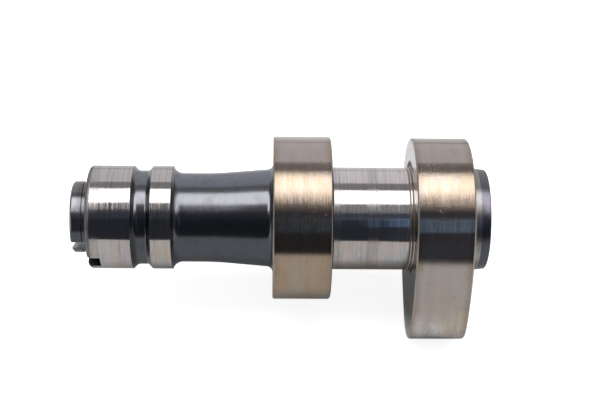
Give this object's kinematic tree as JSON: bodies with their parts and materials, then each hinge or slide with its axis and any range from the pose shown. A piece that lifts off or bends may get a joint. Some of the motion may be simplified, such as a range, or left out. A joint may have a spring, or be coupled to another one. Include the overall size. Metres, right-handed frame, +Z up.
{
  "type": "camshaft",
  "caption": "Solid steel engine camshaft with cams, ground bearing journals, a ring groove, a flared neck and a slotted drive nose.",
  "frame": {"origin": "on the shaft's axis, at the middle of the drive end journal", "axes": "+X along the shaft's axis from the drive end to the free end, +Z up as the shaft lies on its cams"},
  "size_m": [0.0878, 0.0447, 0.0399],
  "materials": {
    "steel": "bright ground journals, straw heat tint on the cams, dark satin neck and ends"
  },
  "bodies": {
    "root": {"camshaft": "steel"}
  },
  "joints": []
}
